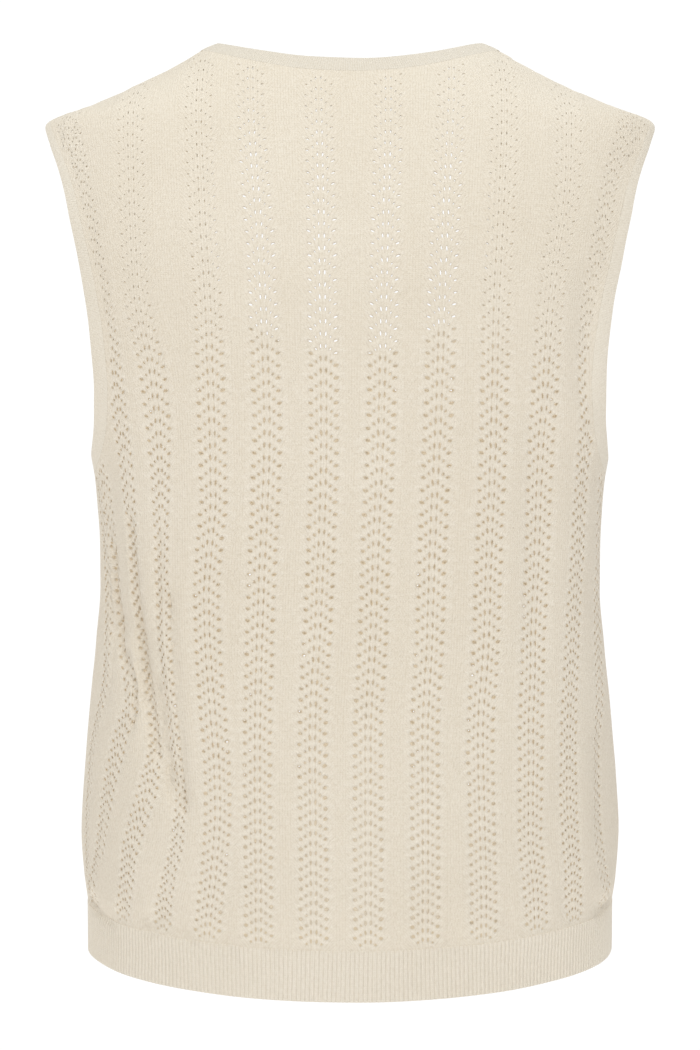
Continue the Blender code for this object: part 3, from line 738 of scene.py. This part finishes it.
def panel_net(outline, facing, lines):
    """Nodes and triangles of a panel with its eyelets left open, and the eyelets."""
    eyelets, extras = lattice_nodes(facing, lines)
    eyelets, extras = np.array(eyelets), np.array(extras)
    keep = inside(eyelets[:, :2], outline)
    keep &= edge_distance(eyelets[:, :2], outline) > EYELET_CLEAR
    cells = {}
    for k in np.flatnonzero(keep):
        keep[k] = spread(cells, *eyelets[k, :2], EYELETS_APART)
    eyelets = eyelets[keep]
    side_points = np.array([
        (side * (float(girth(h, facing)) - away), h)
        for side in (LEFT, RIGHT) for away in SIDE_POINTS
        for h in np.arange(-0.56, -0.02, 0.0072)
    ])
    extras = np.concatenate([extras, side_points])
    extras = extras[inside(extras, outline) & (edge_distance(extras, outline) > EXTRAS_CLEAR)]
    chosen = [(x, y) for x, y in extras if spread(cells, x, y, EXTRAS_APART)]
    turns = (np.arange(EYELET_SIDES) + 0.5) * 2 * math.pi / EYELET_SIDES
    rays = eyelets[:, 3:4] * np.cos(turns) * EYELET_SPREAD
    wides = eyelets[:, 4:5] * np.sin(turns)
    sine, cosine = np.sin(eyelets[:, 2:3]), np.cos(eyelets[:, 2:3])
    rims = np.stack([eyelets[:, 0:1] + rays * sine + wides * cosine,
                     eyelets[:, 1:2] + rays * cosine - wides * sine], axis=-1)
    count, holes = len(outline), len(eyelets)
    points = np.concatenate([outline, rims.reshape(-1, 2), np.array(chosen)])
    owner = np.full(len(points), -1)
    owner[count:count + holes * EYELET_SIDES] = np.repeat(np.arange(holes), EYELET_SIDES)
    edges = [(i, (i + 1) % count) for i in range(count)]
    for first in range(count, count + holes * EYELET_SIDES, EYELET_SIDES):
        edges += [(first + i, first + (i + 1) % EYELET_SIDES) for i in range(EYELET_SIDES)]
    scaled = [Vector(p) for p in points * 1000]
    verts, _, faces, sources, _, _ = delaunay_2d_cdt(scaled, edges, [], 0, 1e-5)
    nodes = np.array([tuple(v) for v in verts]) / 1000
    owners = np.array([owner[s[0]] if s else -2 for s in sources])
    faces = np.array([tuple(f) for f in faces if len(f) == 3])
    own = owners[faces]
    hole = (own[:, 0] >= 0) & (own[:, 0] == own[:, 1]) & (own[:, 1] == own[:, 2])
    hole &= nodes[faces[:, 0], 1] > CLOSED_BELOW
    faces = faces[~hole]
    return nodes, faces[inside(nodes[faces].mean(axis=1), outline)], eyelets


# ---- meshes


def linked(name, data):
    """A new object in the scene."""
    obj = bpy.data.objects.new(name, data)
    bpy.context.collection.objects.link(obj)
    return obj


def finish_mesh(name, verts, polygons, stitch, eyelet, finish, slot):
    mesh = bpy.data.meshes.new(name)
    mesh.from_pydata(verts.tolist(), [], polygons)
    for map_name, corners in (("stitch", stitch), ("eyelet", eyelet)):
        layer = mesh.uv_layers.new(name=map_name)
        layer.data.foreach_set("uv", np.asarray(corners, np.float32).ravel())
    mesh.uv_layers["stitch"].active_render = True
    mesh.uv_layers.active = mesh.uv_layers["stitch"]
    mesh.materials.append(finish)
    mesh.shade_smooth()
    mesh.set_sharp_from_angle(angle=math.radians(SHARP_ANGLE))
    mesh.update()
    obj = linked(name, mesh)
    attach(obj, "root")
    return obj


def wall(name, along, height, facing, faces, outer, inner, corner_uv, near, finish, slot):
    """A closed thin wall from nodes and faces; outer and inner are lifts at each node."""
    outside = place(along, height, facing, outer).reshape(-1, 3)
    within = place(along, height, facing, inner).reshape(-1, 3)
    _, first, merged = np.unique(
        np.round((outside + within) / 2, 6), axis=0, return_index=True, return_inverse=True
    )
    merged = merged.reshape(-1)
    outside, within = outside[first], within[first]
    faces = merged[faces].astype(np.int64)
    sides = faces.shape[1]
    whole = np.ones(len(faces), bool)
    for i in range(sides):
        whole &= faces[:, i] != faces[:, (i + 1) % sides]
    faces, corner_uv, near = faces[whole], corner_uv[whole], near[whole]
    a, b, c = (outside[faces[:, i]] for i in range(3))
    if (np.cross(b - a, c - a) * (outside - within)[faces[:, 0]]).sum() < 0:
        faces, corner_uv, near = faces[:, ::-1], corner_uv[:, ::-1], near[:, ::-1]
    count = len(outside)
    ends = np.roll(faces, -1, axis=1)
    edge = ~np.isin(faces * count + ends, ends * count + faces)
    start, end = faces[edge], ends[edge]
    rim = np.stack([end, start, start + count, end + count], axis=1)
    polygons = faces.tolist() + (faces[:, ::-1] + count).tolist() + rim.tolist()
    maps = []
    # the cut faces take their eyelet distances scaled up, so less painted tan shade
    for corners, shade_easing in ((corner_uv, 1.0), (near, RIM_LESS_PAINTED_SHADE)):
        after = np.roll(corners, -1, axis=1)
        rims = np.stack([after[edge], corners[edge], corners[edge], after[edge]], axis=1) * shade_easing
        maps.append(np.concatenate([
            corners.reshape(-1, 2), corners[:, ::-1].reshape(-1, 2), rims.reshape(-1, 2)
        ]))
    verts = np.concatenate([outside, within])
    return finish_mesh(name, verts, polygons, *maps, finish, slot)


def relief(offset, width, count, along, height):
    """How far the lace and the plain columns stand out from the form."""
    away = np.abs(offset) * 1000 * COLUMN_WIDTH / width

    def ridge(high, middle, half):
        return high * np.exp(-(((away - middle) / half) ** 2))

    cycle = 0.5 - 0.5 * np.cos(2 * math.pi * count)
    plain = PLAIN_RELIEF * fade((away - 9.5) / 5)
    raised = plain + ridge(*PETAL) * cycle + (ridge(*RIDGE) + ridge(*RAY) * cycle)
    lower = ramp(height, *RELIEF_DOWN)
    upper, shoulder = UPPER_RELIEF
    upper = upper + shoulder * ramp(np.abs(along), *RELIEF_OUT)
    return raised * (lower + upper * (1 - lower)) - RELIEF_SUNK


def from_eyelets(nodes, faces, eyelets):
    """Where each corner lies in the nearest eyelet's own axes, with its edge at distance 1."""
    tree = KDTree(len(eyelets))
    for k, (x, y, *_) in enumerate(eyelets):
        tree.insert((x, y, 0), k)
    tree.balance()
    middle = nodes[faces].mean(axis=1)
    own = eyelets[[tree.find((x, y, 0))[1] for x, y in middle]]
    away = nodes[faces] - own[:, None, :2]
    sine, cosine = np.sin(own[:, 2:3]), np.cos(own[:, 2:3])
    lengthwise = (away[..., 0] * sine + away[..., 1] * cosine) / own[:, 3:4]
    across = (away[..., 0] * cosine - away[..., 1] * sine) / own[:, 4:5]
    # higher up, the distances are scaled up, so the eyelets take less painted tan shade
    shade_easing = 1 + UPPER_LESS_PAINTED_SHADE * ramp(nodes[faces][..., 1:2], *LESS_PAINTED_SHADE_UP)
    return np.stack([lengthwise, across], axis=-1) * shade_easing


def lace_panel(name, outline, facing, lines, finish):
    """A panel of lace, with its eyelets open and its stitches laid along the columns."""
    nodes, faces, eyelets = panel_net(outline, facing, lines)
    along, height = nodes.T
    _, offset, width, count = lattice(along, height, facing, lines)
    near_edge = fade(edge_distance(nodes, outline) / 0.004)
    lift = relief(offset, width, count, along, height) * near_edge + EDGE_LIFT * (1 - near_edge)
    column, off, _, _ = lattice(*nodes[faces].mean(axis=1).T, facing, lines)
    lean = np.array(WALE_LEANS)[np.searchsorted(WALE_STEPS, np.abs(off) * 1000)] * np.sign(off)
    centres = np.array([line(height) for line in lines])
    from_column = along[faces] - centres[column[:, None], faces]
    wales = from_column / COLUMN_WIDTH * WALES - lean[:, None] * count[faces]
    uv = np.stack([wales, COURSES * count[faces]], axis=-1)
    obj = wall(f"{name}_lace", along, height, facing, faces, lift + PANEL_WALL / 2,
               lift - PANEL_WALL / 2, uv, from_eyelets(nodes, faces, eyelets), finish,
               "lace_knit")
    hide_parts(name)


def grid_wall(name, along, height, facing, outer, inner, u, v, finish, near=FAR):
    """A wall from a grid of nodes; near is small in the grooves of a rib, where it gives a slight
    painted tan shade.
    """
    index = np.arange(along.size).reshape(along.shape)
    faces = np.stack([index[:-1, :-1], index[:-1, 1:], index[1:, 1:], index[1:, :-1]], axis=-1)
    faces = faces.reshape(-1, 4)
    uv = np.stack(np.broadcast_arrays(u, v), axis=-1).reshape(-1, 2)[faces]
    near = np.broadcast_to(near, along.shape).ravel()[faces]
    near = np.stack([near, np.zeros_like(near)], axis=-1)
    obj = wall(f"{name}_knit", along, height, facing, faces, outer, inner, uv, near, finish,
               "rib_knit")
    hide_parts(name)
    return obj


def hem_rib(name, facing, side, finish):
    """1x1 rib: every rib is a round ridge of real height."""
    ribs = np.arange(HEM_RIBS[facing] * RIB_STEPS + 1) / RIB_STEPS
    wave = 0.5 + 0.5 * np.cos(2 * math.pi * ribs)
    slant = RIB_SLANT * np.sin(ribs / 9 + facing)
    along, height = [], []
    for share in np.arange(RIB_ROWS + 1) / RIB_ROWS:
        line, level = bottom_line(facing, side, len(ribs) - 1, RIB_DEPTH * share)
        from_ends = np.minimum(np.abs(line - line[0]), np.abs(line - line[-1]))
        along.append(line + slant * (share - 0.5) * fade(from_ends / 0.01))
        height.append(level)
    along = np.array(along)
    outer = RIB_WALL / 2 + RIB_RIDGE * wave ** 0.8 - RIB_RIDGE / 2
    v = np.linspace(0, RIB_DEPTH / RIB_COURSE, RIB_ROWS + 1)[:, None]
    # near, small in the grooves, gives them a slight painted tan shade and a bump dip
    obj = grid_wall(name, along, np.array(height), facing, outer, -RIB_WALL / 2, 2 * ribs, v,
                    finish, 1.62 + 2 * wave)


def crowned(shares):
    """Half the thickness of a band at shares of its width, a little less at its edges."""
    return BAND_WALL / 2 * (1 - 0.12 * np.abs(2 * shares - 1) ** 4)


def edge_band(name, lines, facing, depth, rib, whole, finish):
    """A band round an opening from a line of nodes at each of its shares, the edge first."""
    along, height = np.array(lines).transpose(2, 1, 0)
    edge = run_length(place(along[:, 3], height[:, 3], facing, 0.0))
    ribs = edge[-1] / rib
    u = edge / edge[-1] * (round(ribs) if whole else ribs)
    lift = crowned(BAND_SHARES)
    obj = grid_wall(name, along, height, np.array(facing)[:, None], lift, -lift, u[:, None],
                    BAND_SHARES * depth / BAND_COURSE, finish)


def armhole_band(name, side, finish):
    turns = 150
    facing = [BACK] * (turns + 1) + [FRONT] * turns
    angles = [math.pi * i / turns for i in [*range(turns + 1), *range(turns - 1, -1, -1)]]
    lines = [
        [armhole_node(angle, inset, on, side) for angle, on in zip(angles, facing)]
        for inset in BAND_SHARES * ARMHOLE_BAND
    ]
    edge_band(name, lines, facing, ARMHOLE_BAND, ARMHOLE_RIB, True, finish)


def neck_band(finish):
    climbs = np.linspace(0, 1, 150)
    backs = np.linspace(-1, 1, 140)[1:-1]
    lines = []
    for inset in BAND_SHARES * NECK_BAND:
        right = [front_neck_node(c, inset, RIGHT) for c in climbs]
        back = [back_neck_node(c, inset) for c in backs]
        left = [front_neck_node(c, inset, LEFT) for c in climbs[::-1]]
        lines.append(right + back + left)
    facing = [FRONT] * len(climbs) + [BACK] * len(backs) + [FRONT] * len(climbs)
    edge_band("neck_band", lines, facing, NECK_BAND, BAND_RIB, False, finish)


def front_band(name, side, finish):
    top = front_neck_node(0, 0.0, RIGHT)[1]
    bottom = float(hem_height(0, FRONT))
    shares = np.linspace(0, 1, 13)
    along, height = np.meshgrid((shares - 0.5) * FRONT_BAND, np.linspace(bottom, top, 160))
    lift, half = BAND_LIFT[side], crowned(shares)
    obj = grid_wall(name, along, height, FRONT, lift + half, lift - half,
                    height / BAND_RIB, along / BAND_COURSE, finish)


# ---- buttons


def mesh_from(bm, name):
    mesh = bpy.data.meshes.new(name)
    bm.to_mesh(mesh)
    bm.free()
    return mesh


def button_mesh(finish):
    """A dished disc with a rounded rim and four thread holes."""
    bm = bmesh.new()
    verts = [bm.verts.new((a * BUTTON_RADIUS, 0, b * BUTTON_THICK)) for a, b in BUTTON_PROFILE]
    edges = [bm.edges.new(pair) for pair in zip(verts, verts[1:])]
    bmesh.ops.spin(bm, geom=verts + edges, axis=(0, 0, 1), cent=(0, 0, 0),
                   angle=2 * math.pi, steps=48)
    bmesh.ops.remove_doubles(bm, verts=bm.verts, dist=1e-6)
    bmesh.ops.recalc_face_normals(bm, faces=bm.faces)
    disc = linked("button_blank", mesh_from(bm, "button_blank"))
    bm = bmesh.new()
    for x in (-BUTTON_HOLE_OFFSET, BUTTON_HOLE_OFFSET):
        for y in (-BUTTON_HOLE_OFFSET, BUTTON_HOLE_OFFSET):
            bmesh.ops.create_cone(
                bm, cap_ends=True, segments=14, radius1=BUTTON_HOLE_RADIUS,
                radius2=BUTTON_HOLE_RADIUS, depth=3 * BUTTON_THICK,
                matrix=Matrix.Translation((x, y, 0)),
            )
    cutter = linked("button_holes", mesh_from(bm, "button_holes"))
    disc.modifiers.new("holes", "BOOLEAN").object = cutter
    bpy.context.view_layer.update()
    evaluated = disc.evaluated_get(bpy.context.evaluated_depsgraph_get())
    made = bpy.data.meshes.new_from_object(evaluated)
    for helper in (disc, cutter):
        bpy.data.objects.remove(helper, do_unlink=True)
    made.materials.clear()
    made.materials.append(finish)
    made.shade_smooth()
    made.set_sharp_from_angle(angle=math.radians(50))
    return made


def thread_mesh(finish):
    """Two crossing turns of sewing thread, over and through the four holes."""
    bm = bmesh.new()
    last, sides = 12, 8
    for turn, direction in enumerate(((1, 1), (1, -1))):
        points = []
        for share in np.arange(last + 1) / last:
            across = (share * 2 - 1) * BUTTON_HOLE_OFFSET
            arch = THREAD_ARCH * math.sin(math.pi * share) ** 0.6 * (1 + 0.35 * turn)
            height = 0.24 * BUTTON_THICK + arch
            if share in (0, 1):
                height = -0.42 * BUTTON_THICK
            points.append(Vector((across * direction[0], across * direction[1], height)))
        rings = []
        for i, point in enumerate(points):
            ahead = points[min(i + 1, last)] - points[max(i - 1, 0)]
            aim = ahead.to_track_quat("Z", "Y")
            ring = [(THREAD_RADIUS * math.cos(a), THREAD_RADIUS * math.sin(a), 0)
                    for a in (k * math.pi / 4 for k in range(sides))]
            rings.append([bm.verts.new(point + aim @ Vector(spot)) for spot in ring])
        for low, high in zip(rings, rings[1:]):
            for k in range(sides):
                ahead = (k + 1) % sides
                bm.faces.new((low[k], low[ahead], high[ahead], high[k]))
        bm.faces.new(rings[0][::-1])
        bm.faces.new(rings[-1])
    bmesh.ops.recalc_face_normals(bm, faces=bm.faces)
    mesh = mesh_from(bm, "button_thread")
    mesh.materials.append(finish)
    mesh.shade_smooth()
    return mesh


def add_buttons(shell, thread):
    disc, stitches = button_mesh(shell), thread_mesh(thread)
    top = front_neck_node(0, 0.0, RIGHT)[1] - BUTTON_FROM_TOP
    bottom = float(hem_height(0, FRONT)) + BUTTON_FROM_HEM
    lift = BAND_LIFT[RIGHT] + BUTTON_SEAT + BUTTON_THICK / 2
    for i in range(BUTTONS):
        height = top + (bottom - top) * i / (BUTTONS - 1)
        seat, outward = form_points(np.array([0.0]), np.array([height]), FRONT)
        seat, outward = Vector(seat[0]), Vector(outward[0])
        turn = outward.to_track_quat("Z", "Y").to_matrix().to_4x4()
        turn = turn @ Matrix.Rotation(draw.uniform(-0.5, 0.5), 4, "Z")
        for name, mesh, slot in (
            (f"button_disc_{i + 1}", disc, "button"), (f"button_thread_{i + 1}", stitches, "rib_knit")
        ):
            obj = linked(name, mesh.copy())
            obj.matrix_world = Matrix.Translation(seat + outward * lift) @ turn
            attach(obj, "root")
            if mesh is disc:
                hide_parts(f"button_{i + 1}")


# ---- materials


class Material:
    """A new material, with short ways to add nodes to it."""

    def __init__(self, name):
        self.made = bpy.data.materials.new(name)
        self.made.use_nodes = True
        self.nodes, self.links = self.made.node_tree.nodes, self.made.node_tree.links
        self.coordinates = self.nodes.new("ShaderNodeTexCoord").outputs["Object"]

    def feed(self, node, values):
        """Give a node's inputs, by name or number, a value or another node's output."""
        for key, value in values.items():
            if isinstance(value, tuple):
                value = (*value, 1)
            if isinstance(value, (int, float, tuple)):
                node.inputs[key].default_value = value
            else:
                self.links.new(value, node.inputs[key])
        return node

    def uv(self, name):
        node = self.nodes.new("ShaderNodeUVMap")
        node.uv_map = name
        return node.outputs[0]

    def maths(self, operation, *values):
        node = self.nodes.new("ShaderNodeMath")
        node.operation = operation
        return self.feed(node, dict(enumerate(values))).outputs[0]

    def blend(self, *shares):
        """The sum of values, each times its weight."""
        total, *others = [self.maths("MULTIPLY", value, weight) for value, weight in shares]
        for value in others:
            total = self.maths("ADD", total, value)
        return total

    def noise(self, scale, detail):
        node = self.nodes.new("ShaderNodeTexNoise")
        values = {"Vector": self.coordinates, "Scale": scale, "Detail": detail}
        return self.feed(node, values).outputs["Fac"]

    def mix(self, factor, first, second):
        node = self.nodes.new("ShaderNodeMix")
        node.data_type = "RGBA"
        return self.feed(node, {0: factor, 6: first, 7: second}).outputs[2]

    def shaded(self, values):
        self.feed(self.nodes["Principled BSDF"], values)
        return self.made


def knit_material(name, light, groove_shade_and_tone, relief_depth, groove, fans):
    """Rows of V stitches that follow the stitch map, with painted shade in their grooves, a little
    fuzz, and painted tan shade round the eyelets.

    fans is how strongly the cloth between the rows of eyelets stands out, as a bump and as a painted
    highlight.
    """
    made = Material(name)
    m = made.maths
    u, v, _ = made.feed(made.nodes.new("ShaderNodeSeparateXYZ"), {0: made.uv("stitch")}).outputs
    away = m("MULTIPLY", m("ABSOLUTE", m("SUBTRACT", m("FRACT", u), 0.5)), 2.0)
    phase = m("FRACT", m("SUBTRACT", v, m("MULTIPLY", away, 0.55)))
    leg = m("SINE", m("MULTIPLY", phase, math.pi))
    across = m("SINE", m("MULTIPLY", m("FRACT", m("MULTIPLY", u, 2.0)), math.pi))
    edge = m("SUBTRACT", 1.0, m("MULTIPLY", m("POWER", away, 2.0), groove))
    height = m("MULTIPLY", m("ADD", 0.55, m("MULTIPLY", leg, 0.45)), edge)
    height = m("MULTIPLY", height, m("ADD", 0.75, m("MULTIPLY", across, 0.25)))

    length = made.nodes.new("ShaderNodeVectorMath")
    length.operation = "LENGTH"
    from_middle = made.feed(length, {0: made.uv("eyelet")}).outputs["Value"]

    def around(near, far, at_near, at_far):
        node = made.nodes.new("ShaderNodeMapRange")
        node.interpolation_type = "SMOOTHSTEP"
        values = dict(enumerate((from_middle, near, far, at_near, at_far)))
        return made.feed(node, values).outputs["Result"]

    fuzz, tone, grain = made.noise(1400.0, 2.0), made.noise(9.0, 3.0), made.noise(600.0, 3.0)
    between = m("MULTIPLY", m("COSINE", m("MULTIPLY", v, 2 * math.pi / COURSES)), -0.5)
    # a painted highlight, and a bump, on the cloth between the rows of eyelets
    petal_bump_and_highlight = m("MULTIPLY", m("ADD", between, 0.5), around(3.0, 7.5, fans, 0.0))
    # mix towards the light colour: painted shade in the stitch grooves from their height, random tone
    # from the noises, and a painted highlight between the rows of eyelets
    shade = made.blend((height, 0.36), (fuzz, 0.20), (grain, 0.52),
                       (m("SUBTRACT", tone, 0.5), 0.25), (petal_bump_and_highlight, 0.13))
    colour = made.mix(shade, groove_shade_and_tone, light)
    # painted tan shade round each eyelet and on its cut faces
    colour = made.mix(around(1.0, 1.7, 0.7, 0.0), colour, EYELET_PAINTED_SHADE)
    raised = made.blend((height, 0.75), (fuzz, 0.35), (grain, 1.5),
                        (around(1.0, 2.6, 0.0, 1.3), 1.0), (petal_bump_and_highlight, 0.5))
    bump = made.nodes.new("ShaderNodeBump")
    made.feed(bump, {"Strength": 0.8, "Distance": relief_depth, "Height": raised})
    return made.shaded({
        "Base Color": colour, "Normal": bump.outputs[0], "Roughness": 0.95,
        "Specular IOR Level": 0.2, "Sheen Weight": 0.08, "Sheen Roughness": 0.6,
    })


def plain_material(name, scale, detail, first, second, roughness, coat=0.0):
    """A cloudy mix of two colours."""
    made = Material(name)
    colour = made.mix(made.noise(scale, detail), first, second)
    return made.shaded({"Base Color": colour, "Roughness": roughness, "Coat Weight": coat})


# ---- the garment

lace = knit_material("lace_knit", CREAM, CREAM_GROOVE_SHADE_AND_TONE, 0.00042, 0.55, 1.0)
rib = knit_material("rib_knit", RIB_CREAM, RIB_GROOVE_SHADE_AND_TONE, 0.00030, 0.55, 0.0)
# a darker copy of the rib knit for the neck band: painted shade
shaded_fine_rib = knit_material("fine_rib_knit", NECK_BAND_SHADED_CREAM, RIB_GROOVE_SHADE_AND_TONE, 0.00040, 0.85, 0.0)
shell = plain_material("button_shell", 220.0, 4.0, SHELL_DEEP, SHELL, 0.32, 0.25)
thread_deep = tuple(0.75 * c for c in THREAD)
thread = plain_material("button_thread", 2500.0, 2.0, thread_deep, THREAD, 0.8)

lace_panel("back_panel", back_outline(), BACK, column_lines(BACK_COLUMNS, LEFT),
           lace)
for side, side_name in ((LEFT, "left"), (RIGHT, "right")):
    lace_panel(f"front_{side_name}_panel", front_outline(side), FRONT,
               column_lines(FRONT_COLUMNS, side), lace)
    armhole_band(f"armhole_band_{side_name}", side, rib)
    front_band(f"front_band_{side_name}", side, rib)
    hem_rib(f"hem_rib_front_{side_name}", FRONT, side, rib)
hem_rib("hem_rib_back", BACK, LEFT, rib)
neck_band(shaded_fine_rib)
add_buttons(shell, thread)

# ---- floor, light and camera


def add_floor():
    mesh = bpy.data.meshes.new("floor")
    turns = [2 * math.pi * i / FLOOR_SIDES for i in range(FLOOR_SIDES)]
    rim = [(FLOOR_RADIUS * math.cos(turn), FLOOR_RADIUS * math.sin(turn), FLOOR_LEVEL)
           for turn in turns]
    mesh.from_pydata(rim, [], [tuple(range(FLOOR_SIDES))])
    mesh.materials.append(plain_material("floor", 3.0, 2.0, *FLOOR, 0.9))
    linked("floor", mesh)


def add_world():
    """White where the camera looks past the object, a little dimmer as light."""
    world = bpy.data.worlds.new("studio")
    world.use_nodes = True
    nodes, links = world.node_tree.nodes, world.node_tree.links
    sky = nodes["Background"]
    sky.inputs["Color"].default_value = (1, 1, 1, 1)
    path = nodes.new("ShaderNodeLightPath")
    strength = nodes.new("ShaderNodeMapRange")
    strength.inputs["To Min"].default_value = SKY_LIGHT
    strength.inputs["To Max"].default_value = SKY_SEEN
    links.new(path.outputs["Is Camera Ray"], strength.inputs["Value"])
    links.new(strength.outputs["Result"], sky.inputs["Strength"])
    bpy.context.scene.world = world


def add_light(name, kind, place_at, power, colour):
    light = bpy.data.lights.new(name, kind)
    light.color = colour
    light.energy = power
    obj = linked(name, light)
    obj.location = place_at
    return obj


def add_lights():
    for name, place_at, size, power, colour in AREA_LIGHTS:
        obj = add_light(f"light_{name}", "AREA", place_at, power, colour)
        obj.data.size = size
        obj.data.shape = "SQUARE"
        aim = Vector(MIDDLE) - Vector(place_at)
        obj.rotation_euler = aim.to_track_quat("-Z", "Y").to_euler()
        obj.visible_camera = False
    for number, (height, power) in enumerate(LAMPS):
        obj = add_light(f"light_inside_{number + 1}", "POINT", (0, 0, height), power, LAMP_COLOUR)
        obj.data.shadow_soft_size = 0.03


def add_camera():
    lens = bpy.data.cameras.new("camera")
    lens.sensor_width = 36.0
    lens.lens = CAMERA_LENS
    obj = linked("camera", lens)
    obj.location = CAMERA_PLACE
    obj.rotation_euler = (math.radians(90 - CAMERA_TILT), 0, math.pi)
    bpy.context.scene.camera = obj


add_floor()
add_world()
add_lights()
add_camera()
bpy.context.scene.view_settings.view_transform = "Standard"
